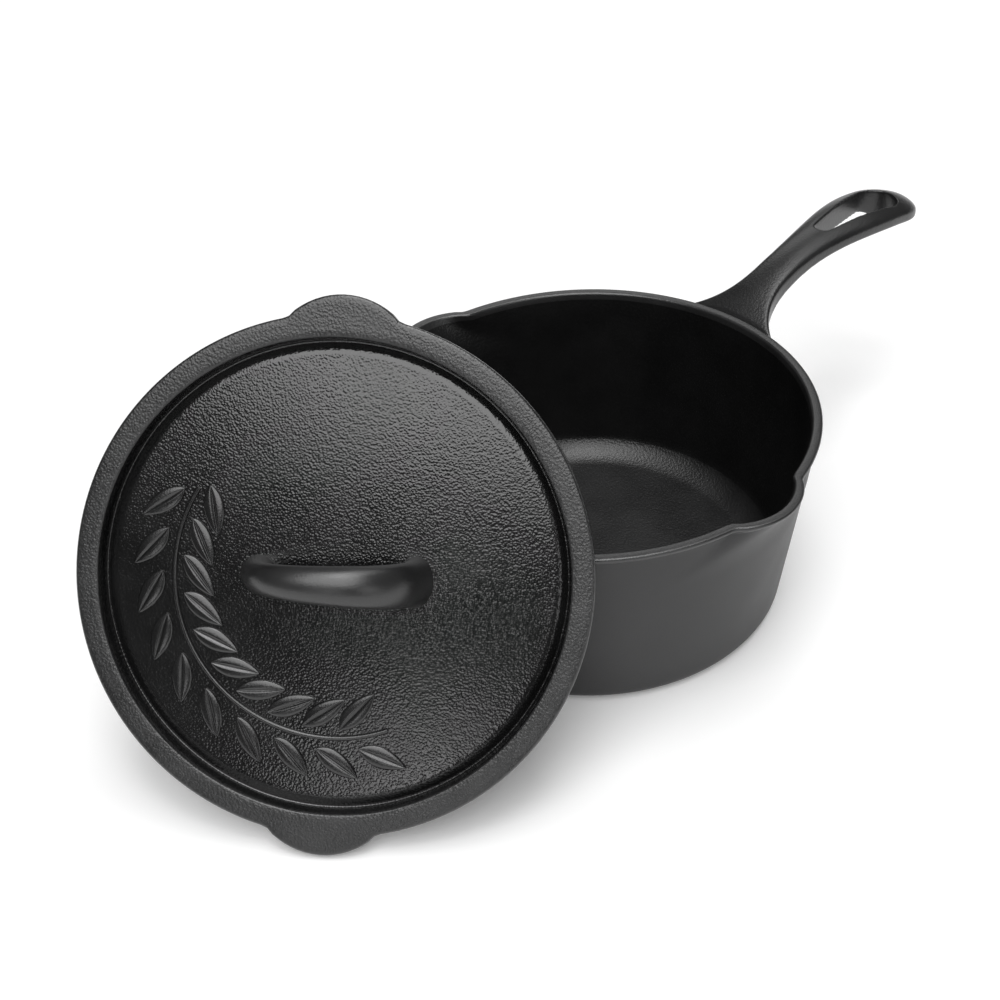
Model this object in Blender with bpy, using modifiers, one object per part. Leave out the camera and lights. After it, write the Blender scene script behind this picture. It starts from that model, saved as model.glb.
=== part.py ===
# Cast iron saucepan with a cast-in long handle, two pouring lips and a flanged lid
# that leans on the pan. Metres, +Z up, origin at the middle of the pan's base,
# long handle along +X, pouring lips towards +Y and -Y.

import math

import bmesh
import bpy
from mathutils import Matrix, Vector

# Pan
RIM_RADIUS = 0.1020           # outside of the lip
PAN_HEIGHT = 0.0915
LIP_WIDTH = 0.0044            # flat top of the lip
LIP_HEIGHT = 0.0024           # how far down the lip stands proud of the wall
LIP_OVERHANG = 0.0014
LIP_ROUND = 0.0009
BASE_RADIUS = 0.0890          # outside, where the wall meets the bottom corner
BASE_CORNER = 0.0060
WALL_THICKNESS = 0.0036
FLOOR_THICKNESS = 0.0050
FLOOR_FILLET = 0.0065
PAN_STEPS = 112               # facets round the pan

# Pouring lips, the same outline on the pan's rim and on the lid's tabs
SPOUT_REACH = 0.0078
SPOUT_HALF_ANGLE = math.radians(12.8)
SPOUT_DEPTH = 0.0260          # how far down the wall the pouring lip fades out

# Long handle. Distances along it are measured outwards from the pan's rim.
HANDLE_LENGTH = 0.1400
HANDLE_WAIST = 0.0094         # half width at the narrowest place
HANDLE_END = 0.0172           # half width near the end
WAIST_AT = 0.0380
WIDEST_AT = 0.1120
END_LENGTH = 0.0200           # length of the rounded end
END_SQUARENESS = 2.2          # 2 is an elliptical end, more is squarer
ROOT_BLEND = 0.0335           # width over which the root's sides blend into the wall
ROOT_DEEP = 0.0110            # how far inside the rim the first cross-section lies
ROOT_DROP = 0.0020            # edge line below the rim at the root
EDGE_RISE = 0.0143            # edge line above the rim at the top of the arch
PEAK_AT = 0.0760
CLIMB = 2.4                   # how late the climb from the root bends level
TIP_RISE = 0.0045             # edge line above the rim at the tip
HANDLE_CROWN = 0.0046         # rise of the upper face over the edge line, near the end
ROOT_CROWN = 0.0008
SIDE_DEPTH = 0.0046           # edge line down to the lower edge
ROOT_SIDE_DEPTH = 0.0104
SIDE_FADE = 0.0760            # length over which the root's depth falls away
SIDE_FILLET = 0.0050          # radius that blends the underside into the wall
HANDLE_BELLY = 0.0075         # how far the rounded underside hangs below its edges, near the end
ROOT_BELLY = 0.0015
HANDLE_EDGE_ROUND = 0.0009

# Hanging slot in the handle
SLOT_AT = 0.0670              # start of the slot, from the rim
SLOT_END_WALL = 0.0130        # iron left between the slot and the handle's end
SLOT_HALF_WIDTH = 0.0106
SLOT_NOSE = 0.0044            # radius of the slot's narrow end

# Lid
LID_OVERHANG = 0.0005         # lid's edge outside the pan's rim
TAB_REACH = 0.0074
FLANGE_THICKNESS = 0.0050
FLANGE_WIDTH = 0.0090         # flat border, from the lid's edge inwards
MOUTH_CLEARANCE = 0.0010      # between the lid's locating ring and the pan's mouth
GUTTER_DEPTH = 0.0095         # border down to the bottom of the gutter
STEP_DRAFT = 0.0011
PANEL_ROLL = 0.0045           # width of the panel's rolled edge
PANEL_LIFT = 0.0030           # gutter up to the panel's shoulder
PANEL_CROWN = 0.0020          # shoulder up to the panel's middle
PANEL_THICKNESS = 0.0040
RING_DEPTH = 0.0128           # border down to the foot of the locating ring
RING_WIDTH = 0.0060
EDGE_ROUND = 0.0012
LID_STEPS = 112

# Loop handle on the lid
LOOP_SPAN = 0.0624            # between the middles of the two feet
LOOP_SHIFT = 0.0012           # middle of the loop from the lid's middle, towards its thick end
LOOP_HEIGHT = 0.0290          # middle of the bar above the panel
LOOP_NARROW = 0.0118          # the bar swells from one foot to the other
LOOP_WIDE = 0.0178
LOOP_THICKNESS = 0.0115
LOOP_FOOT_FLARE = 0.0016
LOOP_SQUARENESS = 0.82        # 1 is an elliptical arch, less is squarer
LOOP_STATIONS = 19
LOOP_SIDES = 14

# The lid at rest: it leans, foot tab on the floor and ring on the pan's lip
LEAN = math.radians(55.2)             # tilt of the lid's axis from upright
LEAN_HEADING = math.radians(219.5)    # angle from +X that the lid's face looks along
LEAN_ASIDE = 0.0941                   # lid's middle from the pan's axis, along the lean's level line
LID_SPIN = math.radians(-2.3)
TOUCH_GAP = 0.0003


def clear_scene():
    for item in list(bpy.data.objects):
        bpy.data.objects.remove(item, do_unlink=True)


def make_collection(name):
    collection = bpy.data.collections.new(name)
    bpy.context.scene.collection.children.link(collection)
    return collection


def iron(name, grey, roughness):
    material = bpy.data.materials.new(name)
    material.use_nodes = True
    shader = material.node_tree.nodes["Principled BSDF"]
    shader.inputs["Base Color"].default_value = (grey, grey, grey * 1.03, 1.0)
    shader.inputs["Roughness"].default_value = roughness
    shader.inputs["Metallic"].default_value = 0.35
    return material


def arc(centre_r, centre_z, radius, start, end, count):
    """Points on a round corner of a turned profile, angles in degrees."""
    points = []
    for i in range(count + 1):
        angle = math.radians(start + (end - start) * i / count)
        points.append((centre_r + radius * math.cos(angle), centre_z + radius * math.sin(angle)))
    return points


def smooth_step(value):
    value = min(1.0, max(0.0, value))
    return value * value * (3.0 - 2.0 * value)


def evaluated_copy(source, name, collection):
    """Turn an object with modifiers, or a curve, into a plain mesh object."""
    bpy.context.view_layer.update()
    graph = bpy.context.evaluated_depsgraph_get()
    mesh = bpy.data.meshes.new_from_object(source.evaluated_get(graph))
    work = bmesh.new()
    work.from_mesh(mesh)
    bmesh.ops.remove_doubles(work, verts=work.verts, dist=0.00001)
    work.to_mesh(mesh)
    work.free()
    mesh.name = name
    item = bpy.data.objects.new(name, mesh)
    item.matrix_world = source.matrix_world.copy()
    collection.objects.link(item)
    bpy.data.objects.remove(source, do_unlink=True)
    return item


def turned(name, profile, steps, collection):
    """Turn a profile of (radius, height) points once round the Z axis."""
    mesh = bpy.data.meshes.new(name + "_profile")
    edges = [(i, i + 1) for i in range(len(profile) - 1)]
    mesh.from_pydata([(r, 0.0, z) for r, z in profile], edges, [])
    item = bpy.data.objects.new(name + "_profile", mesh)
    collection.objects.link(item)
    screw = item.modifiers.new("Turn", "SCREW")
    screw.steps = steps
    screw.render_steps = steps
    screw.use_merge_vertices = True
    screw.merge_threshold = 0.0001
    screw.use_smooth_shade = True
    return evaluated_copy(item, name, collection)


def loft(name, rings, collection):
    """Close a tube over rings of points, with a face at each end."""
    work = bmesh.new()
    rows = [[work.verts.new(point) for point in ring] for ring in rings]
    count = len(rows[0])
    for lower, upper in zip(rows, rows[1:]):
        for i in range(count):
            k = (i + 1) % count
            work.faces.new((lower[i], lower[k], upper[k], upper[i]))
    work.faces.new(list(reversed(rows[0])))
    work.faces.new(rows[-1])
    bmesh.ops.recalc_face_normals(work, faces=work.faces)
    mesh = bpy.data.meshes.new(name)
    work.to_mesh(mesh)
    work.free()
    item = bpy.data.objects.new(name, mesh)
    collection.objects.link(item)
    return item


def combine(target, tool, operation):
    """Join or cut with the exact solver and keep the result as the target's mesh."""
    change = target.modifiers.new(operation.title(), "BOOLEAN")
    change.operation = operation
    change.solver = "EXACT"
    change.object = tool
    bpy.context.view_layer.update()
    graph = bpy.context.evaluated_depsgraph_get()
    mesh = bpy.data.meshes.new_from_object(target.evaluated_get(graph))
    target.modifiers.clear()
    old = target.data
    target.data = mesh
    bpy.data.meshes.remove(old)


def cut(target, cutter):
    combine(target, cutter, "DIFFERENCE")
    cutter.hide_render = True
    cutter.display_type = "WIRE"


def join(target, addition):
    combine(target, addition, "UNION")
    bpy.data.objects.remove(addition, do_unlink=True)


def spout_bump(angle):
    """How far out the pouring outline stands at an angle, from 0 to 1."""
    best = 0.0
    for centre in (math.pi / 2, -math.pi / 2):
        away = math.atan2(math.sin(angle - centre), math.cos(angle - centre))
        share = 1.0 - (away / SPOUT_HALF_ANGLE) ** 2
        best = max(best, share)
    # a small hollow where the lip leaves the circle
    return best * smooth_step(best * 3.0 + 0.15) if best > 0.0 else 0.0


def push_out(item, reach, fade):
    """Move the points of a turned shape outwards along the pouring outline."""
    for vertex in item.data.vertices:
        radius = math.hypot(vertex.co.x, vertex.co.y)
        if radius < 0.001:
            continue
        angle = math.atan2(vertex.co.y, vertex.co.x)
        out = reach * spout_bump(angle) * fade(radius, vertex.co.z)
        vertex.co.x += out * vertex.co.x / radius
        vertex.co.y += out * vertex.co.y / radius


def wall_radius(height):
    """Outside radius of the pan's sloping wall."""
    top = PAN_HEIGHT - LIP_HEIGHT
    share = (height - BASE_CORNER) / (top - BASE_CORNER)
    return BASE_RADIUS + share * (RIM_RADIUS - LIP_OVERHANG - BASE_RADIUS)


def inner_radius(height):
    return wall_radius(height) - WALL_THICKNESS


def pan_profile():
    lip_inner = RIM_RADIUS - LIP_WIDTH
    fillet_r = inner_radius(FLOOR_THICKNESS + FLOOR_FILLET) - FLOOR_FILLET
    fillet_z = FLOOR_THICKNESS + FLOOR_FILLET
    points = [(0.0, FLOOR_THICKNESS), (fillet_r * 0.5, FLOOR_THICKNESS)]
    points += arc(fillet_r, fillet_z, FLOOR_FILLET, -90, 0, 4)
    fade_foot = PAN_HEIGHT - SPOUT_DEPTH
    inside = [fade_foot, fade_foot + SPOUT_DEPTH * 0.35, fade_foot + SPOUT_DEPTH * 0.7]
    points += [(inner_radius(z), z) for z in inside]
    points.append((lip_inner, PAN_HEIGHT - LIP_ROUND))
    points.append((lip_inner + LIP_ROUND, PAN_HEIGHT))
    points += arc(RIM_RADIUS - LIP_ROUND, PAN_HEIGHT - LIP_ROUND, LIP_ROUND, 90, 0, 2)
    points.append((RIM_RADIUS, PAN_HEIGHT - LIP_HEIGHT + LIP_OVERHANG * 0.5))
    points.append((wall_radius(PAN_HEIGHT - LIP_HEIGHT), PAN_HEIGHT - LIP_HEIGHT - LIP_OVERHANG * 0.3))
    points += [(wall_radius(z), z) for z in reversed(inside)]
    points += arc(BASE_RADIUS - BASE_CORNER, BASE_CORNER, BASE_CORNER, 0, -90, 4)
    points.append((0.0, 0.0))
    return points


def spout_fade(radius, height):
    return smooth_step((height - (PAN_HEIGHT - SPOUT_DEPTH)) / SPOUT_DEPTH)


def handle_tip():
    return RIM_RADIUS + HANDLE_LENGTH


def top_wall_radius():
    return wall_radius(PAN_HEIGHT - LIP_HEIGHT)


def root_reach():
    """Where the blend between the root's sides and the wall has died away."""
    return top_wall_radius() + ROOT_BLEND


def root_distance(x, y):
    """Signed distance to the outline of the root and the wall, blended into each other."""
    from_flank = y - HANDLE_WAIST
    from_wall = math.hypot(x, y) - top_wall_radius()
    blend = max(0.0, ROOT_BLEND - abs(from_flank - from_wall))
    return min(from_flank, from_wall) - blend ** 2 / (4.0 * ROOT_BLEND)


def root_half_width(x):
    """Half width of the root where the blended outline crosses this distance."""
    inside, outside = 0.0, RIM_RADIUS
    for _ in range(30):
        middle = (inside + outside) / 2
        if root_distance(x, middle) < 0.0:
            inside = middle
        else:
            outside = middle
    return inside


def handle_half_width(x):
    out = x - RIM_RADIUS
    share = smooth_step((out - WAIST_AT) / (WIDEST_AT - WAIST_AT))
    width = HANDLE_WAIST + (HANDLE_END - HANDLE_WAIST) * share
    if x < root_reach():
        width = max(width, root_half_width(x))
    past = (out - (HANDLE_LENGTH - END_LENGTH)) / END_LENGTH
    if past > 0.0:
        width *= max(0.0, 1.0 - past ** END_SQUARENESS) ** (1.0 / END_SQUARENESS)
    return width


def handle_edge_height(x):
    """Height of the handle's edge line: it climbs from the root, arches over and droops."""
    out = x - RIM_RADIUS
    top = PAN_HEIGHT + EDGE_RISE
    if out < PEAK_AT:
        return top - (EDGE_RISE + ROOT_DROP) * ((PEAK_AT - out) / PEAK_AT) ** CLIMB
    share = (out - PEAK_AT) / (HANDLE_LENGTH - PEAK_AT)
    return top - (EDGE_RISE - TIP_RISE) * share ** 2


def handle_side_depth(x):
    out = max(0.0, x - RIM_RADIUS)
    root = max(0.0, 1.0 - out / SIDE_FADE) ** 1.5
    depth = SIDE_DEPTH + (ROOT_SIDE_DEPTH - SIDE_DEPTH) * root
    if out < SIDE_FILLET:
        depth += SIDE_FILLET - math.sqrt(SIDE_FILLET ** 2 - (SIDE_FILLET - out) ** 2)
    return depth


def handle_ring(x):
    """One cross-section: crowned upper face, short upright sides and a rounded underside."""
    half = max(handle_half_width(x), HANDLE_EDGE_ROUND)
    swell = smooth_step((x - RIM_RADIUS) / WIDEST_AT)
    crown = ROOT_CROWN + (HANDLE_CROWN - ROOT_CROWN) * swell
    belly = ROOT_BELLY + (HANDLE_BELLY - ROOT_BELLY) * swell
    side = handle_side_depth(x)
    # the rounded end thins towards the tip
    end = min(1.0, half / HANDLE_END) if x > handle_tip() - END_LENGTH else 1.0
    crown *= end
    belly *= end
    side *= 0.6 + 0.4 * end
    edge = handle_edge_height(x)
    inset = HANDLE_EDGE_ROUND * 0.8 * end
    flat = 1.0 - inset / half
    ring = []
    for i in range(9):
        across = flat * math.cos(math.pi * i / 8)
        ring.append((x, half * across, edge + crown * (1.0 - across ** 2)))
    ring.append((x, -half, edge - inset))
    ring.append((x, -half, edge - side + inset))
    for i in range(7):
        across = -flat * math.cos(math.pi * i / 6)
        ring.append((x, half * across, edge - side - belly * (flat ** 2 - across ** 2)))
    ring.append((x, half, edge - side + inset))
    ring.append((x, half, edge - inset))
    return ring


def handle_stations():
    """Cross-sections set close together in the root's flare and in the rounded end."""
    start = RIM_RADIUS - ROOT_DEEP
    reach = root_reach()
    end = handle_tip() - END_LENGTH
    root = [start + (reach - start) * i / 14 for i in range(14)]
    body = [reach + (end - reach) * i / 10 for i in range(10)]
    tip = [end + END_LENGTH * math.sin(math.radians(88.0) * i / 7) for i in range(8)]
    return root + body + tip


def slot_outline():
    """Tear-shaped slot: a small nose near the pan, a wide round end, straight flanks between."""
    wide_x = handle_tip() - SLOT_END_WALL - SLOT_HALF_WIDTH
    nose_x = RIM_RADIUS + SLOT_AT + SLOT_NOSE
    lean = math.asin((SLOT_HALF_WIDTH - SLOT_NOSE) / (wide_x - nose_x))
    points = []
    # even counts keep the outline's points off the handle's middle line
    for i in range(14):
        angle = math.pi / 2 + lean - (math.pi + 2 * lean) * i / 13
        points.append((wide_x + SLOT_HALF_WIDTH * math.cos(angle), SLOT_HALF_WIDTH * math.sin(angle)))
    for i in range(8):
        angle = -math.pi / 2 - lean - (math.pi - 2 * lean) * i / 7
        points.append((nose_x + SLOT_NOSE * math.cos(angle), SLOT_NOSE * math.sin(angle)))
    return points


def flat_solid(name, outline, low, high, collection):
    """A flat outline, filled and extruded between two heights."""
    curve = bpy.data.curves.new(name, "CURVE")
    curve.dimensions = "2D"
    curve.fill_mode = "BOTH"
    curve.extrude = (high - low) / 2
    spline = curve.splines.new("POLY")
    spline.points.add(len(outline) - 1)
    for point, (x, y) in zip(spline.points, outline):
        point.co = (x, y, 0.0, 1.0)
    spline.use_cyclic_u = True
    item = bpy.data.objects.new(name, curve)
    item.location.z = (high + low) / 2
    collection.objects.link(item)
    return evaluated_copy(item, name, collection)


def make_pan(parts, cutters):
    pan = turned("saucepan", pan_profile(), PAN_STEPS, parts)
    push_out(pan, SPOUT_REACH, spout_fade)
    handle = loft("long_handle", [handle_ring(x) for x in handle_stations()], parts)

    # the root follows the wall: it is cut back to the middle of the wall's thickness
    middle = WALL_THICKNESS / 2
    high = PAN_HEIGHT + EDGE_RISE + 2 * HANDLE_CROWN
    low = PAN_HEIGHT - 2 * (ROOT_DROP + ROOT_SIDE_DEPTH + SIDE_FILLET)
    core = [(0.0, high), (wall_radius(high) - middle, high), (wall_radius(low) - middle, low), (0.0, low)]
    cut(handle, turned("wall_middle", core, PAN_STEPS, cutters))

    below = PAN_HEIGHT - SIDE_DEPTH - 2 * HANDLE_BELLY
    cut(handle, flat_solid("hanging_slot", slot_outline(), below, high, cutters))
    join(pan, handle)

    pan.data.materials.clear()
    pan.data.materials.append(iron("matte_iron", 0.055, 0.55))
    pan.data.shade_smooth()
    pan.data.set_sharp_from_angle(angle=math.radians(35))
    return pan


def panel_height(radius):
    """Upper face of the crowned panel, measured from the lid's border face."""
    shoulder = gutter_radius() - PANEL_ROLL
    if radius > shoulder:
        share = (radius - shoulder) / PANEL_ROLL
        return -GUTTER_DEPTH + PANEL_LIFT * math.sqrt(max(0.0, 1.0 - share ** 2))
    return -GUTTER_DEPTH + PANEL_LIFT + PANEL_CROWN * (1.0 - (radius / shoulder) ** 2)


def lid_radius():
    return RIM_RADIUS + LID_OVERHANG


def border_inner_radius():
    return lid_radius() - FLANGE_WIDTH


def gutter_radius():
    return border_inner_radius() - STEP_DRAFT


def ring_radius():
    """Outside of the locating ring, which drops into the pan's mouth."""
    mouth = inner_radius(PAN_HEIGHT - RING_DEPTH + FLANGE_THICKNESS)
    return mouth - MOUTH_CLEARANCE


def lid_profile():
    shoulder = gutter_radius() - PANEL_ROLL
    inner, outer = border_inner_radius(), lid_radius()
    points = [(radius, panel_height(radius)) for radius in (0.0, shoulder * 0.4, shoulder * 0.75, shoulder)]
    rolled = [shoulder + PANEL_ROLL * share for share in (0.35, 0.65, 0.87)]
    points += [(radius, panel_height(radius)) for radius in rolled]
    points.append((gutter_radius(), -GUTTER_DEPTH))
    points.append((inner, -EDGE_ROUND / 2))
    points.append((inner + EDGE_ROUND / 2, 0.0))
    points += arc(outer - EDGE_ROUND, -EDGE_ROUND, EDGE_ROUND, 90, 0, 2)
    points += arc(outer - EDGE_ROUND, -FLANGE_THICKNESS + EDGE_ROUND, EDGE_ROUND, 0, -90, 2)
    ring = ring_radius()
    points.append((ring, -FLANGE_THICKNESS))
    points += arc(ring - EDGE_ROUND, -RING_DEPTH + EDGE_ROUND, EDGE_ROUND, 0, -90, 2)
    points.append((ring - RING_WIDTH, -RING_DEPTH))
    dish = ring - RING_WIDTH - EDGE_ROUND
    points += [(radius, panel_height(min(radius, shoulder)) - PANEL_THICKNESS) for radius in (dish, dish * 0.6, 0.0)]
    return points


def lid_fade(radius, height):
    """Only the border's outer edge follows the pouring outline."""
    middle = (lid_radius() + ring_radius()) / 2
    return 1.0 if radius > middle else 0.0


def loop_ring(share):
    """One cross-section of the loop handle, share runs from one foot to the other."""
    angle = math.pi * share
    half_span = LOOP_SPAN / 2
    foot_depth = panel_height(half_span) - PANEL_THICKNESS / 2
    rise = LOOP_HEIGHT + PANEL_THICKNESS / 2
    side = math.copysign(abs(math.cos(angle)) ** LOOP_SQUARENESS, math.cos(angle))
    up = math.sin(angle) ** LOOP_SQUARENESS
    centre = Vector((LOOP_SHIFT + half_span * side, 0.0, foot_depth + rise * up))
    slope = Vector((-half_span * math.sin(angle), 0.0, rise * math.cos(angle)))
    along = slope.normalized()
    across = Vector((0.0, 1.0, 0.0))
    outward = across.cross(along).normalized()
    foot = (1.0 - min(1.0, up * 2.2)) ** 2
    bar = LOOP_NARROW + (LOOP_WIDE - LOOP_NARROW) * (1.0 + side) / 2
    half_width = bar / 2 + LOOP_FOOT_FLARE * foot
    half_thick = LOOP_THICKNESS / 2 + LOOP_FOOT_FLARE * foot
    ring = []
    for i in range(LOOP_SIDES):
        turn = 2 * math.pi * i / LOOP_SIDES
        point = centre + across * (half_width * math.cos(turn)) + outward * (half_thick * math.sin(turn))
        ring.append(point)
    return ring


def make_lid(parts, cutters):
    lid = turned("lid", lid_profile(), LID_STEPS, parts)
    push_out(lid, TAB_REACH, lid_fade)
    loop = loft("lid_loop", [loop_ring(i / (LOOP_STATIONS - 1)) for i in range(LOOP_STATIONS)], parts)

    # the feet end inside the panel's thickness
    top = panel_height(LOOP_SPAN / 2) - PANEL_THICKNESS * 0.6
    bottom = top - LOOP_HEIGHT
    below = [(0.0, top), (lid_radius(), top), (lid_radius(), bottom), (0.0, bottom)]
    cut(loop, turned("panel_middle", below, LID_STEPS, cutters))
    join(lid, loop)

    lid.data.materials.clear()
    lid.data.materials.append(iron("pebbled_iron", 0.045, 0.6))
    lid.data.shade_smooth()
    lid.data.set_sharp_from_angle(angle=math.radians(35))
    return lid


def lean_lid(lid):
    """Stand the lid on its tab and rest its locating ring on the pan's lip."""
    face = Vector((math.sin(LEAN) * math.cos(LEAN_HEADING), math.sin(LEAN) * math.sin(LEAN_HEADING), math.cos(LEAN)))
    down = Vector((math.cos(LEAN) * math.cos(LEAN_HEADING), math.cos(LEAN) * math.sin(LEAN_HEADING), -math.sin(LEAN)))
    level = face.cross(down)
    basis = Matrix((level, -down, face)).transposed()
    # in the lid's own frame the tabs lie along Y and the loop along X
    turn = basis @ Matrix.Rotation(LID_SPIN, 3, "Z")

    # how far the pan's rounded lip reaches along the face's normal, then the ring's depth
    lip_middle = Vector((RIM_RADIUS - LIP_ROUND, PAN_HEIGHT - LIP_ROUND))
    reach = lip_middle.x * math.sin(LEAN) + lip_middle.y * math.cos(LEAN) + LIP_ROUND
    stand_off = reach + RING_DEPTH + TOUCH_GAP
    lowest = min((turn @ vertex.co).z for vertex in lid.data.vertices)
    height = -lowest
    # middle = stand-off along the normal, sideways along the level line, at the height
    # where the tab meets the floor
    flat_normal = Vector((face.x, face.y, 0.0))
    forward = flat_normal.normalized()
    ahead = (stand_off - height * face.z) / flat_normal.length
    middle = forward * ahead + level * -LEAN_ASIDE
    middle.z = height
    lid.matrix_world = Matrix.Translation(middle) @ turn.to_4x4()
    return middle


clear_scene()
parts = make_collection("cast_iron_saucepan")
cutters = make_collection("cutters")
saucepan = make_pan(parts, cutters)
saucepan_lid = make_lid(parts, cutters)
lean_lid(saucepan_lid)
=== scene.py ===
import math

import bmesh
import bpy
from mathutils import Matrix, Vector


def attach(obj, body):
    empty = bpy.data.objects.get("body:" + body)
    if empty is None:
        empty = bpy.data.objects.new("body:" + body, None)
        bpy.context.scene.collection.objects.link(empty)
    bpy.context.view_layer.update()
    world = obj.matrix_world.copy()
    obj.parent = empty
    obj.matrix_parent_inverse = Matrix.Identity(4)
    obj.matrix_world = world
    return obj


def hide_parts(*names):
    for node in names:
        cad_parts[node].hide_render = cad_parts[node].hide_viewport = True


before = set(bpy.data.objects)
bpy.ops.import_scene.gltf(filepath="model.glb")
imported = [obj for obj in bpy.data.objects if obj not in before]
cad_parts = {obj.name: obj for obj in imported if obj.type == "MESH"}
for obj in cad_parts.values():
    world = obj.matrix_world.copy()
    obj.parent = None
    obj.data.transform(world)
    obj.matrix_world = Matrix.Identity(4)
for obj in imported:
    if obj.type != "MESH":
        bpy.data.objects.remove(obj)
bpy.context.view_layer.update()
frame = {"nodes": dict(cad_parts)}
print("frame loaded:", ", ".join(frame["nodes"]))


# small helpers

def smoothStep(value):
    value = min(1.0, max(0.0, value))
    return value * value * (3.0 - 2.0 * value)


def profileMesh(corners):
    # an open profile in the XZ plane
    bm = bmesh.new()
    verts = [bm.verts.new((r, 0.0, z)) for r, z in corners]
    for pair in zip(verts, verts[1:]):
        bm.edges.new(pair)
    return bm


def divideLong(bm, spacing):
    # cut the long edges that run from ring to ring
    groups = {}
    for edge in bm.edges:
        first, second = (v.co for v in edge.verts)
        cuts = int(edge.calc_length() / spacing)
        climbs = max(abs(first.xy.length - second.xy.length), abs(first.z - second.z)) > 0.0001
        if cuts > 0 and climbs:
            groups.setdefault(cuts, []).append(edge)
    for cuts, edges in groups.items():
        bmesh.ops.subdivide_edges(bm, edges=[e for e in edges if e.is_valid], cuts=cuts, use_grid_fill=True)


def spinAround(bm, steps):
    bmesh.ops.spin(bm, geom=bm.verts[:] + bm.edges[:], cent=(0, 0, 0), axis=(0, 0, 1), dvec=(0, 0, 0),
                   angle=2 * math.pi, steps=steps, use_merge=True, use_duplicate=False)
    bmesh.ops.remove_doubles(bm, verts=bm.verts, dist=0.000002)
    bmesh.ops.recalc_face_normals(bm, faces=bm.faces)


def roundRing(bm, corner, width, segments):
    # bevel the ring of edges that was spun from one corner of the profile
    radius, height = corner
    ring = [e for e in bm.edges
            if all(max(abs(v.co.xy.length - radius), abs(v.co.z - height)) < 0.00001 for v in e.verts)]
    bmesh.ops.bevel(bm, geom=ring, offset=width, offset_type="OFFSET", affect="EDGES", segments=segments,
                    profile=0.5, material=-1, clamp_overlap=True)


def toObject(name, bm, sharpAngle=60):
    mesh = bpy.data.meshes.new(name)
    bm.to_mesh(mesh)
    bm.free()
    mesh.shade_smooth()
    mesh.set_sharp_from_angle(angle=math.radians(sharpAngle))
    item = bpy.data.objects.new(name, mesh)
    bpy.context.scene.collection.objects.link(item)
    return item


def bake(item):
    # keep what the modifiers make as the object's own mesh
    bpy.context.view_layer.update()
    graph = bpy.context.evaluated_depsgraph_get()
    mesh = bpy.data.meshes.new_from_object(item.evaluated_get(graph))
    item.modifiers.clear()
    item.data = mesh


def cutAway(item, cutter):
    change = item.modifiers.new("Cut", "BOOLEAN")
    change.operation = "DIFFERENCE"
    change.solver = "EXACT"
    change.object = cutter
    bake(item)
    bpy.data.objects.remove(cutter, do_unlink=True)


def finishPiece(item, body, node, materials):
    for material in materials:
        item.data.materials.append(material)
    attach(item, body)
    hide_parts(node)
    print("made", item.name, len(item.data.polygons), "faces")


# finishes

def groupSocket(group, name, direction, kind, value=None):
    socket = group.interface.new_socket(name=name, in_out=direction, socket_type=kind)
    if value is not None:
        socket.default_value = value


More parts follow.
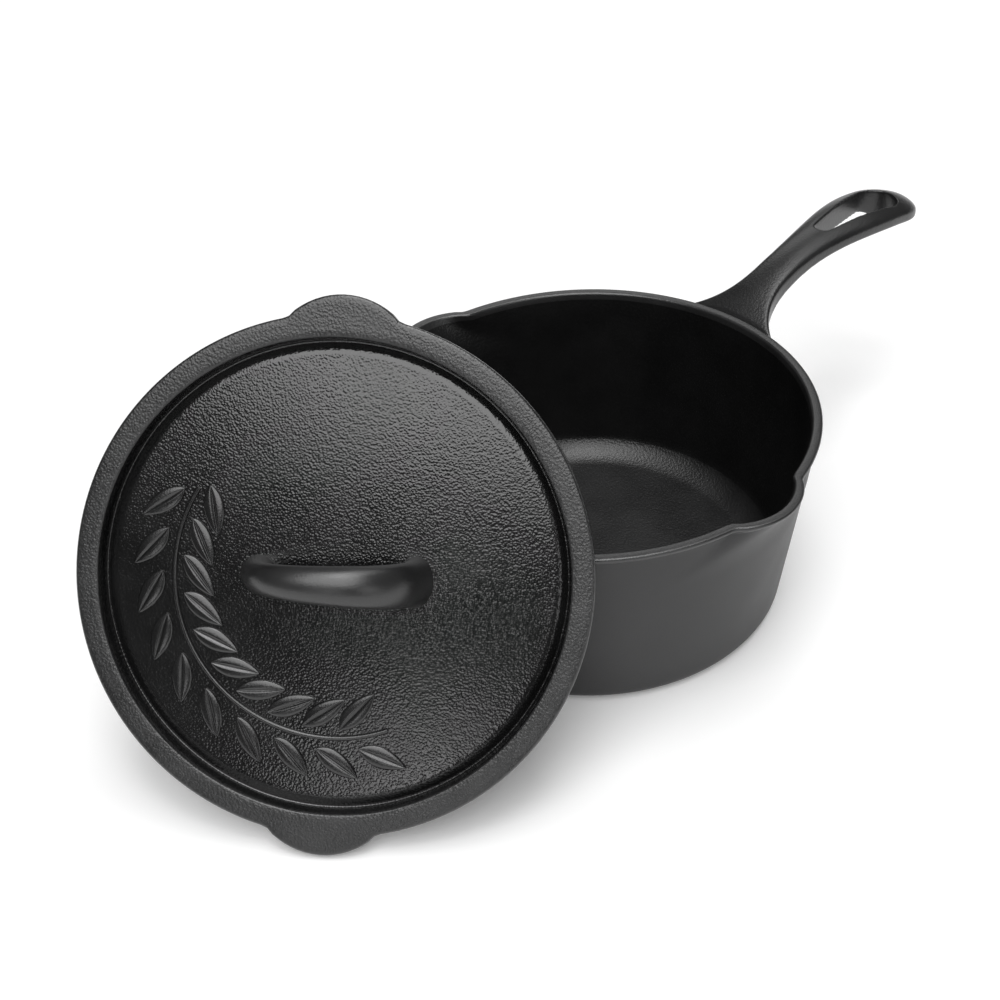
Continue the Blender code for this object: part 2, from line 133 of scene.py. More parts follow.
def makeCastSkin():
    # sand-cast skin: rounded pebbles over a fine noise, with soft mottling
    group = bpy.data.node_groups.new("castSkin", "ShaderNodeTree")
    groupSocket(group, "Grain", "INPUT", "NodeSocketFloat", 900.0)
    groupSocket(group, "Pebbles", "INPUT", "NodeSocketFloat", 0.5)
    groupSocket(group, "Dark", "INPUT", "NodeSocketColor", (0.01, 0.01, 0.01, 1))
    groupSocket(group, "Light", "INPUT", "NodeSocketColor", (0.03, 0.03, 0.03, 1))
    groupSocket(group, "Smooth", "INPUT", "NodeSocketFloat", 0.35)
    groupSocket(group, "Rough", "INPUT", "NodeSocketFloat", 0.5)
    groupSocket(group, "Color", "OUTPUT", "NodeSocketColor")
    groupSocket(group, "Roughness", "OUTPUT", "NodeSocketFloat")
    groupSocket(group, "Height", "OUTPUT", "NodeSocketFloat")
    nodes, links = group.nodes, group.links
    given = nodes.new("NodeGroupInput")
    result = nodes.new("NodeGroupOutput")
    place = nodes.new("ShaderNodeTexCoord")

    pebble = nodes.new("ShaderNodeTexVoronoi")
    pebble.feature = "SMOOTH_F1"
    pebble.inputs["Smoothness"].default_value = 0.6
    links.new(place.outputs["Object"], pebble.inputs["Vector"])
    links.new(given.outputs["Grain"], pebble.inputs["Scale"])
    dome = nodes.new("ShaderNodeMapRange")
    dome.inputs["From Min"].default_value = 0.75
    dome.inputs["From Max"].default_value = 0.1
    links.new(pebble.outputs["Distance"], dome.inputs["Value"])

    grain = nodes.new("ShaderNodeTexNoise")
    grain.inputs["Detail"].default_value = 3.0
    grain.inputs["Roughness"].default_value = 0.55
    links.new(place.outputs["Object"], grain.inputs["Vector"])
    finer = nodes.new("ShaderNodeMath")
    finer.operation = "MULTIPLY"
    finer.inputs[1].default_value = 1.6
    links.new(given.outputs["Grain"], finer.inputs[0])
    links.new(finer.outputs["Value"], grain.inputs["Scale"])

    relief = nodes.new("ShaderNodeMix")
    links.new(given.outputs["Pebbles"], relief.inputs["Factor"])
    links.new(grain.outputs["Fac"], relief.inputs["A"])
    links.new(dome.outputs["Result"], relief.inputs["B"])
    links.new(relief.outputs["Result"], result.inputs["Height"])

    cloud = nodes.new("ShaderNodeTexNoise")
    cloud.inputs["Scale"].default_value = 45.0
    cloud.inputs["Detail"].default_value = 4.0
    links.new(place.outputs["Object"], cloud.inputs["Vector"])
    spread = nodes.new("ShaderNodeMapRange")
    spread.inputs["From Min"].default_value = 0.3
    spread.inputs["From Max"].default_value = 0.7
    links.new(cloud.outputs["Fac"], spread.inputs["Value"])
    blend = nodes.new("ShaderNodeMix")
    blend.inputs["Factor"].default_value = 0.45
    links.new(spread.outputs["Result"], blend.inputs["A"])
    links.new(relief.outputs["Result"], blend.inputs["B"])
    colour = nodes.new("ShaderNodeMix")
    colour.data_type = "RGBA"
    links.new(blend.outputs["Result"], colour.inputs["Factor"])
    links.new(given.outputs["Dark"], colour.inputs[6])
    links.new(given.outputs["Light"], colour.inputs[7])
    links.new(colour.outputs[2], result.inputs["Color"])  # colour mixes use sockets 6, 7 and output 2

    sheen = nodes.new("ShaderNodeMix")
    links.new(spread.outputs["Result"], sheen.inputs["Factor"])
    links.new(given.outputs["Smooth"], sheen.inputs["A"])
    links.new(given.outputs["Rough"], sheen.inputs["B"])
    links.new(sheen.outputs["Result"], result.inputs["Roughness"])
    return group


castSkin = makeCastSkin()


def grey(value):
    return (value, value, value * 1.02, 1.0)


def makeIron(name, look):
    material = bpy.data.materials.new(name)
    material.use_nodes = True
    nodes, links = material.node_tree.nodes, material.node_tree.links
    shader = nodes["Principled BSDF"]
    shader.inputs["Metallic"].default_value = 0.0
    shader.inputs["IOR"].default_value = look["ior"]
    skin = nodes.new("ShaderNodeGroup")
    skin.node_tree = castSkin
    for socket in ("Grain", "Pebbles", "Smooth", "Rough"):
        skin.inputs[socket].default_value = look[socket]
    for socket in ("Dark", "Light"):
        skin.inputs[socket].default_value = grey(look[socket])
    bump = nodes.new("ShaderNodeBump")
    bump.inputs["Strength"].default_value = 1.0
    bump.inputs["Distance"].default_value = look["depth"]
    links.new(skin.outputs["Height"], bump.inputs["Height"])
    links.new(bump.outputs["Normal"], shader.inputs["Normal"])
    links.new(skin.outputs["Color"], shader.inputs["Base Color"])
    links.new(skin.outputs["Roughness"], shader.inputs["Roughness"])
    return material


ironLooks = {
    # outer wall: base colour lighter than the rest of the same iron, painted light on the pan's outside
    "wallIronPaintedLight": {"ior": 1.4, "depth": 0.00004, "Grain": 1300.0, "Pebbles": 0.3,
                 "Dark": 0.029, "Light": 0.046, "Smooth": 0.42, "Rough": 0.5},
    "floorIron": {"ior": 1.6, "depth": 0.00013, "Grain": 950.0, "Pebbles": 0.7,
                  "Dark": 0.003, "Light": 0.009, "Smooth": 0.36, "Rough": 0.46},
    # inside wall: base colour far darker than the outside of the same iron, painted shade in the pan's hollow
    "bowlIronPaintedShade": {"ior": 1.5, "depth": 0.00010, "Grain": 900.0, "Pebbles": 0.6,
                 "Dark": 0.003, "Light": 0.007, "Smooth": 0.30, "Rough": 0.38},
    "rimIron": {"ior": 1.7, "depth": 0.00008, "Grain": 1200.0, "Pebbles": 0.5,
                "Dark": 0.010, "Light": 0.024, "Smooth": 0.28, "Rough": 0.36},
    # handle: base colour darker than the rim's iron, painted shade on the handle
    "handleIronPaintedShade": {"ior": 1.6, "depth": 0.00010, "Grain": 1000.0, "Pebbles": 0.5,
                   "Dark": 0.007, "Light": 0.018, "Smooth": 0.28, "Rough": 0.36},
    "borderIron": {"ior": 1.7, "depth": 0.00012, "Grain": 1050.0, "Pebbles": 0.6,
                   "Dark": 0.008, "Light": 0.028, "Smooth": 0.26, "Rough": 0.34},
    "panelIron": {"ior": 1.7, "depth": 0.00007, "Grain": 1100.0, "Pebbles": 0.75,
                  "Dark": 0.003, "Light": 0.009, "Smooth": 0.12, "Rough": 0.18},
    "sprigIron": {"ior": 1.7, "depth": 0.00003, "Grain": 1200.0, "Pebbles": 0.5,
                  "Dark": 0.004, "Light": 0.011, "Smooth": 0.20, "Rough": 0.26},
    "loopIron": {"ior": 1.7, "depth": 0.00006, "Grain": 1300.0, "Pebbles": 0.3,
                 "Dark": 0.010, "Light": 0.022, "Smooth": 0.30, "Rough": 0.38},
}
irons = {name: makeIron(name, look) for name, look in ironLooks.items()}
print("finishes ready:", len(irons))


# pan's bowl

pan = {
    "rim": 0.1020, "height": 0.0915, "lipWidth": 0.0044, "lipHeight": 0.0024, "lipOverhang": 0.0014,
    "lipRound": 0.0010, "lipLowRound": 0.0006, "lipFootRound": 0.0007, "lipSlope": (0.0004, 0.0007),
    "base": 0.0890, "baseCorner": 0.0060, "wall": 0.0036, "floor": 0.0050,
    "floorFillet": 0.0082, "floorDish": 0.0006, "floorRings": (1.0, 0.6, 0.3),
    "footHeight": 0.0140, "footTaper": 0.0040,
    "spoutReach": 0.0078, "spoutAngle": math.radians(12.8), "spoutDepth": 0.0260, "spoutSpread": 1.5,
    "spoutInside": 0.3,
    "pole": 0.0024, "spacing": 0.0028, "steps": 240,  # pole: small disc round the axis
}


def wallRadius(height):
    top = pan["height"] - pan["lipHeight"]
    share = (height - pan["baseCorner"]) / (top - pan["baseCorner"])
    return pan["base"] + share * (pan["rim"] - pan["lipOverhang"] - pan["base"])


def innerRadius(height):
    return wallRadius(height) - pan["wall"]


def spoutBump(angle, spread=1.0):
    # share of the pouring lip's reach at an angle round the pan
    best = 0.0
    for centre in (math.pi / 2, -math.pi / 2):
        away = math.atan2(math.sin(angle - centre), math.cos(angle - centre))
        best = max(best, 1.0 - (away / pan["spoutAngle"] / spread) ** 2)
    return best * smoothStep(best * 3.0 + 0.15) if best > 0.0 else 0.0


def pushOut(bm, reach, fade):
    # push the rim out at both pouring lips, wider and softer where it fades
    for vert in bm.verts:
        radius = vert.co.xy.length
        if radius < 0.001:
            continue
        share = fade(radius, vert.co.z)
        spread = 1.0 + pan["spoutSpread"] * (1.0 - share)
        out = reach * share * spoutBump(math.atan2(vert.co.y, vert.co.x), spread) / spread
        vert.co.xy *= 1.0 + out / radius


def spoutFade(radius, height):
    return smoothStep((height - pan["height"] + pan["spoutDepth"]) / pan["spoutDepth"])


def makeBowl():
    top, rim = pan["height"], pan["rim"]
    lipFoot = top - pan["lipHeight"]
    mouth = rim - pan["lipWidth"]
    under = top - pan["spoutDepth"] * pan["spoutInside"]
    below, above = pan["lipSlope"]
    corners = [
        (0.0, 0.0), (pan["pole"], 0.0), (wallRadius(0.0), 0.0),
        (wallRadius(lipFoot - below), lipFoot - below), (rim, lipFoot + above),
        (rim, top), (mouth, top),
        (innerRadius(under), under), (innerRadius(pan["footHeight"]), pan["footHeight"]),
    ]
    # the floor inside is dished a little
    foot = innerRadius(pan["floor"]) - pan["footTaper"]
    corners += [(foot * share, pan["floor"] + pan["floorDish"] * share ** 2) for share in pan["floorRings"]]
    corners += [(pan["pole"], pan["floor"]), (0.0, pan["floor"])]
    bm = profileMesh(corners)
    spinAround(bm, pan["steps"])
    # place in the profile, width and segments of each rounding
    for place, width, segments in ((2, pan["baseCorner"], 8), (3, pan["lipFootRound"], 3),
                                   (4, pan["lipLowRound"], 3), (5, pan["lipRound"], 4),
                                   (6, pan["lipRound"], 4), (9, pan["floorFillet"], 16)):
        roundRing(bm, corners[place], width, segments)
    divideLong(bm, pan["spacing"])
    # finishes: 0 wall outside (painted light), 1 wall inside (painted shade), 2 lip, 3 floor with its fillet
    for face in bm.faces:
        centre = face.calc_center_median()
        inside = centre.xy.length < innerRadius(centre.z) + 0.0012 and centre.z > pan["floor"] - 0.001
        if centre.z > lipFoot - 0.0006:
            face.material_index = 2
        elif inside and centre.z < pan["floor"] + pan["floorFillet"]:
            face.material_index = 3
        elif inside:
            face.material_index = 1
    pushOut(bm, pan["spoutReach"], spoutFade)
    bowl = toObject("panBowl", bm)
    finishes = [irons[name] for name in ("wallIronPaintedLight", "bowlIronPaintedShade", "rimIron", "floorIron")]
    finishPiece(bowl, "pan", "saucepan", finishes)


makeBowl()


# pan's long handle

handle = {
    "length": 0.1400, "waist": 0.0094, "end": 0.0172, "waistAt": 0.0380, "widestAt": 0.1120,
    "endLength": 0.0200, "endSquareness": 2.2, "rootBlend": 0.0335, "rootDeep": 0.0110, "rootDrop": 0.0020,
    "rise": 0.0143, "peakAt": 0.0760, "climb": 2.4, "tipRise": 0.0045, "crown": 0.0046, "rootCrown": 0.0008,
    "side": 0.0046, "rootSide": 0.0104, "sideFade": 0.0760, "fillet": 0.0050,
    "belly": 0.0075, "rootBelly": 0.0015,
    "shoulder": (0.0026, 0.0012), "groove": (0.0030, 0.0012),
    "slotAt": 0.0670, "slotEndWall": 0.0130, "slotHalf": 0.0106, "slotNose": 0.0044,
    "rootStations": 30, "neckStations": 26, "endStations": 18, "topPoints": 24, "underPoints": 16,
    "coreHeights": (0.060, 0.125), "slotHeights": (0.065, 0.125), "voxel": 0.0005, "soften": 8,
}
handleTip = pan["rim"] + handle["length"]


def rootHalfWidth(x, wallAt):
    # the root's flank and the wall's circle, blended into each other
    low, high = 0.0, pan["rim"]
    for _ in range(24):
        y = (low + high) / 2
        flank, wall = y - handle["waist"], math.hypot(x, y) - wallAt
        blend = max(0.0, handle["rootBlend"] - abs(flank - wall))
        if min(flank, wall) - blend ** 2 / (4.0 * handle["rootBlend"]) < 0.0:
            low = y
        else:
            high = y
    return low


def handleHalfWidth(x, z):
    out = x - pan["rim"]
    share = smoothStep((out - handle["waistAt"]) / (handle["widestAt"] - handle["waistAt"]))
    width = handle["waist"] + (handle["end"] - handle["waist"]) * share
    wallAt = wallRadius(min(z, pan["height"] - pan["lipHeight"]))
    if x < wallAt + handle["rootBlend"]:
        width = max(width, rootHalfWidth(x, wallAt))
    past = (out - handle["length"] + handle["endLength"]) / handle["endLength"]
    if past > 0.0:
        width *= max(0.0, 1.0 - past ** handle["endSquareness"]) ** (1.0 / handle["endSquareness"])
    return max(width, 0.0008)


def handleEdge(x):
    # height of the edge line: climb from the root, arch, droop
    out = x - pan["rim"]
    top = pan["height"] + handle["rise"]
    if out < handle["peakAt"]:
        share = (handle["peakAt"] - out) / handle["peakAt"]
        return top - (handle["rise"] + handle["rootDrop"]) * share ** handle["climb"]
    share = (out - handle["peakAt"]) / (handle["length"] - handle["peakAt"])
    return top - (handle["rise"] - handle["tipRise"]) * share ** 2


def handleSection(x):
    # points round one cross-section, from the right edge over the top and back under
    out = max(0.0, x - pan["rim"])
    swell = smoothStep(out / handle["widestAt"])
    crown = handle["rootCrown"] + (handle["crown"] - handle["rootCrown"]) * swell
    belly = handle["rootBelly"] + (handle["belly"] - handle["rootBelly"]) * swell
    fade = max(0.0, 1.0 - out / handle["sideFade"]) ** 1.5
    side = handle["side"] + (handle["rootSide"] - handle["side"]) * fade
    if out < handle["fillet"]:
        side += handle["fillet"] - math.sqrt(handle["fillet"] ** 2 - (handle["fillet"] - out) ** 2)
    edge = handleEdge(x)
    end = 1.0
    if x > handleTip - handle["endLength"]:
        end = min(1.0, handleHalfWidth(x, edge) / handle["end"])
    crown, belly, side = crown * end, belly * end, side * (0.6 + 0.4 * end)
    points = []
    half = handleHalfWidth(x, edge)
    wide = min(handle["shoulder"][0], half * 0.6)
    drop = handle["shoulder"][1] * end
    for i in range(handle["topPoints"] + 1):
        across = math.cos(math.pi * i / handle["topPoints"])
        reach = (1.0 - abs(across)) * half
        lower = drop * (1.0 - math.sqrt(1.0 - (1.0 - reach / wide) ** 2)) if reach < wide else 0.0
        points.append((half * across, edge + crown * (1.0 - across ** 2) - lower))
    foot = edge - side
    for share in (0.33, 0.66):
        height = edge - drop + (foot - edge + drop) * share
        points.append((-handleHalfWidth(x, height), height))
    half = handleHalfWidth(x, foot)
    for i in range(handle["underPoints"] + 1):
        across = -math.cos(math.pi * i / handle["underPoints"])
        points.append((half * across, foot - belly * (1.0 - across ** 2)))
    for share in (0.66, 0.33):
        height = edge - drop + (foot - edge + drop) * share
        points.append((handleHalfWidth(x, height), height))
    return points


def makeHandle():
    start = pan["rim"] - handle["rootDeep"]
    reach = wallRadius(pan["height"]) + handle["rootBlend"]
    end = handleTip - handle["endLength"]
    root, neck, tip = handle["rootStations"], handle["neckStations"], handle["endStations"]
    places = [start + (reach - start) * i / root for i in range(root)]
    places += [reach + (end - reach) * i / neck for i in range(neck)]
    places += [end + handle["endLength"] * math.sin(math.radians(89.0) * i / tip) for i in range(tip + 1)]

    bm = bmesh.new()
    rings = []
    for x in places:
        section = handleSection(x)
        ring = bmesh.ops.create_circle(bm, segments=len(section), radius=0.01)["verts"]
        for vert, (y, z) in zip(ring, section):
            vert.co = (x, y, z)
        rings.append(ring)
    for near, far in zip(rings, rings[1:]):
        count = len(near)
        edges = [bm.edges.get((ring[i], ring[(i + 1) % count])) for ring in (near, far) for i in range(count)]
        bmesh.ops.bridge_loops(bm, edges=edges)
    bmesh.ops.holes_fill(bm, edges=[e for e in bm.edges if e.is_boundary], sides=0)
    bmesh.ops.triangulate(bm, faces=[f for f in bm.faces if len(f.verts) > 4])
    bmesh.ops.recalc_face_normals(bm, faces=bm.faces)
    item = toObject("panHandle", bm)

    # the root ends inside the wall
    low, high = handle["coreHeights"]
    bm = bmesh.new()
    bmesh.ops.create_cone(bm, cap_ends=True, segments=pan["steps"], radius1=wallRadius(low) - pan["wall"] / 2,
                          radius2=wallRadius(high) - pan["wall"] / 2, depth=high - low,
                          matrix=Matrix.Translation((0, 0, (low + high) / 2)))
    cutAway(item, toObject("wallCore", bm))

    # tear-shaped hanging slot: the hull of small and large circles
    bm = bmesh.new()
    wideAt = handleTip - handle["slotEndWall"] - handle["slotHalf"]
    noseAt = pan["rim"] + handle["slotAt"] + handle["slotNose"]
    for x, radius in ((wideAt, handle["slotHalf"]), (noseAt, handle["slotNose"])):
        for z in handle["slotHeights"]:
            bmesh.ops.create_circle(bm, segments=64, radius=radius, matrix=Matrix.Translation((x, 0, z)))
    bmesh.ops.convex_hull(bm, input=bm.verts)
    bmesh.ops.delete(bm, geom=[v for v in bm.verts if not v.link_faces], context="VERTS")
    bmesh.ops.delete(bm, geom=[e for e in bm.edges if not e.link_faces], context="EDGES")
    bmesh.ops.recalc_face_normals(bm, faces=bm.faces)
    cutAway(item, toObject("slotTool", bm))

    # an even fine skin, softened as a casting is
    skin = item.modifiers.new("Skin", "REMESH")
    skin.mode = "VOXEL"
    skin.voxel_size = handle["voxel"]
    bake(item)
    bm = bmesh.new()
    bm.from_mesh(item.data)
    for _ in range(handle["soften"]):
        bmesh.ops.smooth_vert(bm, verts=bm.verts, factor=0.5,
                              use_axis_x=True, use_axis_y=True, use_axis_z=True)
    # groove between the root's upper face and the lip
    width, depth = handle["groove"]
    bm.normal_update()
    for vert in bm.verts:
        beyond = (vert.co.xy.length - pan["rim"]) / width
        if beyond < 1.0 and vert.normal.z > 0.3:
            vert.co.z -= depth * (1.0 - smoothStep(max(0.0, beyond))) * smoothStep(vert.normal.z * 1.4)
    bm.to_mesh(item.data)
    bm.free()
    item.data.shade_smooth()
    # the handle's finish is darkened, painted shade
    finishPiece(item, "pan", "saucepan", [irons["handleIronPaintedShade"]])


makeHandle()


# lid

lid = {
    "radius": 0.1025, "tabReach": 0.0074, "flange": 0.0050, "border": 0.0090, "gutterDepth": 0.0090,
    "draft": 0.0011, "roll": 0.0062, "lift": 0.0025, "crown": 0.0020, "panel": 0.0040,
    "ringDepth": 0.0128, "ringWidth": 0.0060, "mouthGap": 0.0010, "edge": 0.0012,
    "gutterFillet": 0.0013, "borderRound": 0.0006, "ringFoot": 0.0008,
    "panelRings": 30, "rollRings": 12, "underRings": 12,
    "lean": math.radians(55.2), "heading": math.radians(219.5), "spin": math.radians(-2.3),
    "middle": (-0.14998, -0.00169, 0.09254),
    "pole": 0.0024, "spacing": 0.0028, "steps": 240,
}
borderInner = lid["radius"] - lid["border"]
gutterRadius = borderInner - lid["draft"]
shoulderRadius = gutterRadius - lid["roll"]


def lidPlace():
    # the lid leans on the pan with its face towards the heading
    lean, heading = lid["lean"], lid["heading"]
    face = Vector((math.sin(lean) * math.cos(heading), math.sin(lean) * math.sin(heading), math.cos(lean)))
    down = Vector((math.cos(lean) * math.cos(heading), math.cos(lean) * math.sin(heading), -math.sin(lean)))
    turn = Matrix((face.cross(down), -down, face)).transposed() @ Matrix.Rotation(lid["spin"], 3, "Z")
    return Matrix.Translation(lid["middle"]) @ turn.to_4x4()


def panelHeight(radius):
    if radius > shoulderRadius:
        share = (radius - shoulderRadius) / lid["roll"]
        return -lid["gutterDepth"] + lid["lift"] * (1.0 - share ** 2.2)
    return -lid["gutterDepth"] + lid["lift"] + lid["crown"] * (1.0 - (radius / shoulderRadius) ** 2)


def makeLidBody():
    ring = innerRadius(pan["height"] - lid["ringDepth"] + lid["flange"]) - lid["mouthGap"]
    outer = lid["radius"]
    dish = ring - lid["ringWidth"] - lid["edge"]
    rings, rolls, unders = lid["panelRings"], lid["rollRings"], lid["underRings"]
    panelTop = [0.0, lid["pole"]] + [shoulderRadius * i / rings for i in range(1, rings + 1)]
    panelTop += [shoulderRadius + lid["roll"] * i / rolls for i in range(1, rolls - 2)]
    top = [(r, panelHeight(r)) for r in panelTop]
    edges = [
        (gutterRadius, -lid["gutterDepth"]), (borderInner, 0.0), (outer, 0.0), (outer, -lid["flange"]),
        (ring, -lid["flange"]), (ring, -lid["ringDepth"]), (ring - lid["ringWidth"], -lid["ringDepth"]),
    ]
    panelUnder = [dish * i / unders for i in range(unders, 0, -1)] + [lid["pole"], 0.0]
    under = [(r, panelHeight(min(r, shoulderRadius)) - lid["panel"]) for r in panelUnder]
    bm = profileMesh(top + edges + under)
    spinAround(bm, lid["steps"])
    for corner, width, segments in ((edges[0], lid["gutterFillet"], 5), (edges[1], lid["borderRound"], 3),
                                    (edges[2], lid["edge"], 4), (edges[3], lid["edge"], 4),
                                    (edges[4], lid["ringFoot"], 2), (edges[5], lid["edge"], 4),
                                    (edges[6], lid["edge"], 4), (under[0], lid["edge"], 3)):
        roundRing(bm, corner, width, segments)
    divideLong(bm, lid["spacing"])
    for face in bm.faces:
        centre = face.calc_center_median()
        onPanel = centre.xy.length < borderInner - 0.0002 and face.normal.z > 0.02
        face.material_index = 1 if onPanel else 0
    middle = (outer + ring) / 2
    pushOut(bm, lid["tabReach"], lambda radius, height: 1.0 if radius > middle else 0.0)
    bmesh.ops.transform(bm, matrix=lidPlace(), verts=bm.verts)
    item = toObject("lidBody", bm)
    finishPiece(item, "lid", "lid", [irons["borderIron"], irons["panelIron"]])


makeLidBody()


# loop handle on the lid

loop = {
    "span": 0.0624, "shift": 0.0012, "height": 0.0290, "narrow": 0.0118, "wide": 0.0178, "thick": 0.0115,
    "flare": 0.0016, "flareFade": 2.2, "squareness": 0.82, "stations": 72, "sides": 48,
}


def makeLoop():
    bm = bmesh.new()
    half = loop["span"] / 2
    foot = panelHeight(half) - lid["panel"] / 2
    rise = loop["height"] + lid["panel"] / 2
    rings = []
    for i in range(loop["stations"] + 1):
        angle = math.pi * i / loop["stations"]
        side = math.copysign(abs(math.cos(angle)) ** loop["squareness"], math.cos(angle))
        up = max(0.0, math.sin(angle)) ** loop["squareness"]
        along = Vector((-half * math.sin(angle), 0.0, rise * math.cos(angle))).normalized()
        across = Vector((0.0, 1.0, 0.0))
        outward = across.cross(along).normalized()
        flare = loop["flare"] * (1.0 - min(1.0, up * loop["flareFade"])) ** 2
        bar = loop["narrow"] + (loop["wide"] - loop["narrow"]) * (1.0 + side) / 2
        # a circle, stretched to the bar's width and thickness
        thick = loop["thick"] / 2 + flare
        basis = Matrix((across * (bar / 2 + flare), outward * thick, along)).transposed()
        place = Matrix.Translation((loop["shift"] + half * side, 0.0, foot + rise * up)) @ basis.to_4x4()
        rings.append(bmesh.ops.create_circle(bm, segments=loop["sides"], radius=1.0, matrix=place)["verts"])
    for near, far in zip(rings, rings[1:]):
        count = len(near)
        edges = [bm.edges.get((ring[k], ring[(k + 1) % count])) for ring in (near, far) for k in range(count)]
        bmesh.ops.bridge_loops(bm, edges=edges)
    bmesh.ops.holes_fill(bm, edges=[e for e in bm.edges if e.is_boundary], sides=0)
    bmesh.ops.recalc_face_normals(bm, faces=bm.faces)
    bmesh.ops.transform(bm, matrix=lidPlace(), verts=bm.verts)
    item = toObject("lidLoop", bm)
    finishPiece(item, "lid", "lid", [irons["loopIron"]])


makeLoop()


# cast relief on the panel: a plain leafy sprig along the panel's edge

sprig = {
    "radius": 0.0640, "from": math.radians(150), "to": math.radians(292), "stem": 0.0011,
    "stemSides": 16, "stemSteps": 90, "leaves": 10, "length": 0.0200, "width": 0.0080, "height": 0.0013,
    "tilt": math.radians(36), "offset": 0.0100, "stagger": 0.18, "veinDepth": 0.55, "veinWidth": 0.15,
    "sunk": 0.0012, "rimRound": 0.0002, "leafGrid": (32, 20),
}


def addLeaf(bm):
    # a pointed, domed leaf with a sunk middle vein and a rounded rim
    long, wide = sprig["leafGrid"]
    grid = bmesh.ops.create_grid(bm, x_segments=long, y_segments=wide, size=0.5)["verts"]
    for vert in grid:
        x, y = vert.co.x * 2, vert.co.y * 2
        outline = (1.0 - x * x) ** 0.8 * (1.0 - 0.18 * x) + 0.04
        vein = sprig["veinDepth"] * math.exp(-(y / sprig["veinWidth"]) ** 2) * (1.0 - x ** 4)
        dome = 0.35 + 0.65 * math.sqrt(max(0.0, 1.0 - y * y)) * (1.0 - 0.5 * x * x)
        vert.co = (x * sprig["length"] / 2, y * outline * sprig["width"] / 2, sprig["height"] * (dome - vein))
    faces = list({f for v in grid for f in v.link_faces})
    under = bmesh.ops.extrude_face_region(bm, geom=faces)
    for vert in (g for g in under["geom"] if isinstance(g, bmesh.types.BMVert)):
        vert.co.z = -sprig["sunk"]
    rim = [e for e in bm.edges if all(v in grid for v in e.verts) and e.calc_face_angle(0.0) > 0.9]
    bmesh.ops.bevel(bm, geom=rim, offset=sprig["rimRound"], affect="EDGES", segments=2, profile=0.5,
                    material=-1)


def makeSprig():
    whole = bmesh.new()
    # stem: a circle swept along the arc
    foot = Matrix.Translation((sprig["radius"], 0, panelHeight(sprig["radius"])))
    start = Matrix.Rotation(sprig["from"], 4, "Z") @ foot
    circle = bmesh.ops.create_circle(whole, segments=sprig["stemSides"], radius=sprig["stem"], cap_ends=True,
                                     matrix=start @ Matrix.Rotation(math.pi / 2, 4, "X"))["verts"]
    geom = circle + list({e for v in circle for e in v.link_edges})
    geom += list({f for v in circle for f in v.link_faces})
    bmesh.ops.spin(whole, geom=geom, cent=(0, 0, 0), axis=(0, 0, 1), dvec=(0, 0, 0),
                   angle=sprig["to"] - sprig["from"], steps=sprig["stemSteps"], use_duplicate=False)
    for i in range(sprig["leaves"]):
        for side in (-1, 1):
            share = (i + 0.5 + side * sprig["stagger"]) / sprig["leaves"]
            angle = sprig["from"] + (sprig["to"] - sprig["from"]) * share
            radius = sprig["radius"] + side * sprig["offset"]
            height = panelHeight(radius)
            slope = (panelHeight(radius + 0.001) - panelHeight(radius - 0.001)) / 0.002
            place = (Matrix.Rotation(angle, 4, "Z") @ Matrix.Translation((radius, 0, height))
                     @ Matrix.Rotation(-math.atan(slope), 4, "Y")
                     @ Matrix.Rotation(math.pi / 2 - side * sprig["tilt"], 4, "Z"))
            leaf = bmesh.new()
            addLeaf(leaf)
            bmesh.ops.transform(leaf, matrix=place, verts=leaf.verts)
            mesh = bpy.data.meshes.new("leafForm")
            leaf.to_mesh(mesh)
            leaf.free()
            whole.from_mesh(mesh)
            bpy.data.meshes.remove(mesh)
    bmesh.ops.recalc_face_normals(whole, faces=whole.faces)
    bmesh.ops.transform(whole, matrix=lidPlace(), verts=whole.verts)
    item = toObject("lidSprig", whole, 40)
    finishPiece(item, "lid", "lid", [irons["sprigIron"]])


makeSprig()


# floor, light and camera

stage = {
    "floorColour": (0.95, 0.95, 0.95, 1.0), "floorLift": 0.10, "floorHalf": 8.0, "floorDrop": 0.0002,
    "worldGrey": 0.08,
    "suns": [
        # name, direction towards the light, strength, angular size
        ("frontSoftbox", (-0.397, -0.304, 0.866), 1.85, 52),
        ("topSoftbox", (0.068, -0.016, 0.998), 1.05, 32),
        ("rightSoftbox", (0.497, 0.056, 0.866), 0.28, 30),
        ("sideSoftbox", (-0.189, -0.932, 0.309), 0.18, 24),
        ("backSoftbox", (0.605, 0.594, 0.53), 0.20, 27),
        ("lowSoftbox", (-0.809, -0.535, 0.242), 0.10, 13),
    ],
}


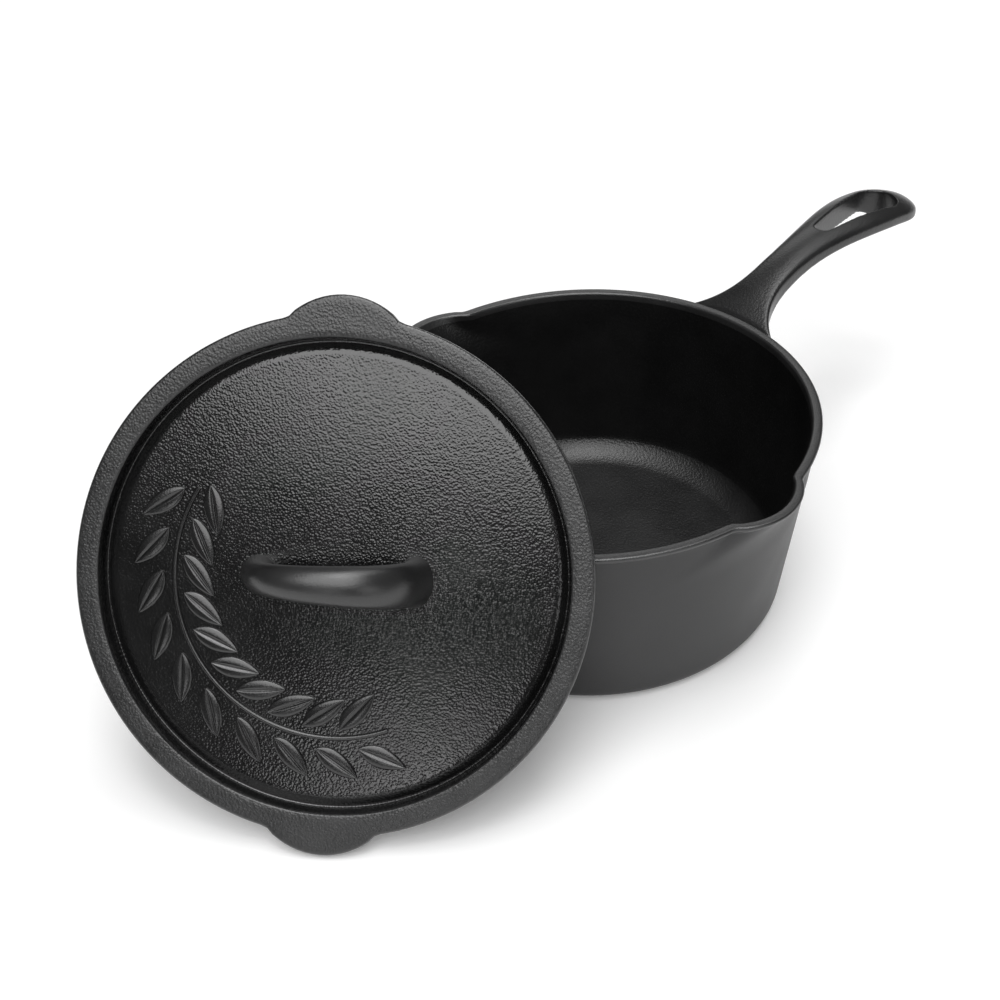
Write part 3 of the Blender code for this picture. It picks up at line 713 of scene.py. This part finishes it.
def makeFloor():
    bm = bmesh.new()
    bmesh.ops.create_grid(bm, x_segments=8, y_segments=8, size=stage["floorHalf"])
    floor = toObject("studioFloor", bm)
    material = bpy.data.materials.new("floorPaper")
    material.use_nodes = True
    nodes, links = material.node_tree.nodes, material.node_tree.links
    shader = nodes["Principled BSDF"]
    shader.inputs["Base Color"].default_value = stage["floorColour"]
    shader.inputs["Roughness"].default_value = 0.9
    shader.inputs["Specular IOR Level"].default_value = 0.0
    # a faint glow lifts the floor's tone where it is seen, and lights nothing
    glow = nodes.new("ShaderNodeEmission")
    rays = nodes.new("ShaderNodeLightPath")
    seen = nodes.new("ShaderNodeMath")
    seen.operation = "MAXIMUM"
    links.new(rays.outputs["Is Camera Ray"], seen.inputs[0])
    links.new(rays.outputs["Is Glossy Ray"], seen.inputs[1])
    through = nodes.new("ShaderNodeMath")
    through.operation = "MAXIMUM"
    links.new(seen.outputs["Value"], through.inputs[0])
    links.new(rays.outputs["Is Transmission Ray"], through.inputs[1])
    strength = nodes.new("ShaderNodeMath")
    strength.operation = "MULTIPLY"
    strength.inputs[1].default_value = stage["floorLift"]
    links.new(through.outputs["Value"], strength.inputs[0])
    links.new(strength.outputs["Value"], glow.inputs["Strength"])
    both = nodes.new("ShaderNodeAddShader")
    links.new(shader.outputs["BSDF"], both.inputs[0])
    links.new(glow.outputs["Emission"], both.inputs[1])
    links.new(both.outputs["Shader"], nodes["Material Output"].inputs["Surface"])
    floor.data.materials.append(material)
    floor.location.z = -stage["floorDrop"]


def makeLights():
    world = bpy.data.worlds.new("studio")
    world.use_nodes = True
    background = world.node_tree.nodes["Background"]
    background.inputs["Color"].default_value = (1, 1, 1, 1)
    background.inputs["Strength"].default_value = stage["worldGrey"]
    bpy.context.scene.world = world
    for name, towards, strength, size in stage["suns"]:
        light = bpy.data.lights.new(name, "SUN")
        light.energy = strength
        light.angle = math.radians(size)
        item = bpy.data.objects.new(name, light)
        item.rotation_euler = Vector(towards).to_track_quat("Z", "Y").to_euler()
        bpy.context.scene.collection.objects.link(item)


camera = {
    "place": (-0.4327, -0.3972, 0.5077), "towards": (0.5397, 0.5687, -0.6208), "roll": -0.0583, "lens": 58.85,
}


def makeCamera():
    data = bpy.data.cameras.new("photoCamera")
    data.sensor_width = 36.0
    data.lens = camera["lens"]
    data.clip_start = 0.01
    item = bpy.data.objects.new("photoCamera", data)
    forward = Vector(camera["towards"]).normalized()
    right = forward.cross(Vector((0, 0, 1))).normalized()
    up = right.cross(forward)
    turn = Matrix((right, up, -forward)).transposed() @ Matrix.Rotation(camera["roll"], 3, "Z")
    item.matrix_world = Matrix.Translation(camera["place"]) @ turn.to_4x4()
    bpy.context.scene.collection.objects.link(item)
    bpy.context.scene.camera = item


makeFloor()
makeLights()
makeCamera()
bpy.context.scene.view_settings.view_transform = "Standard"
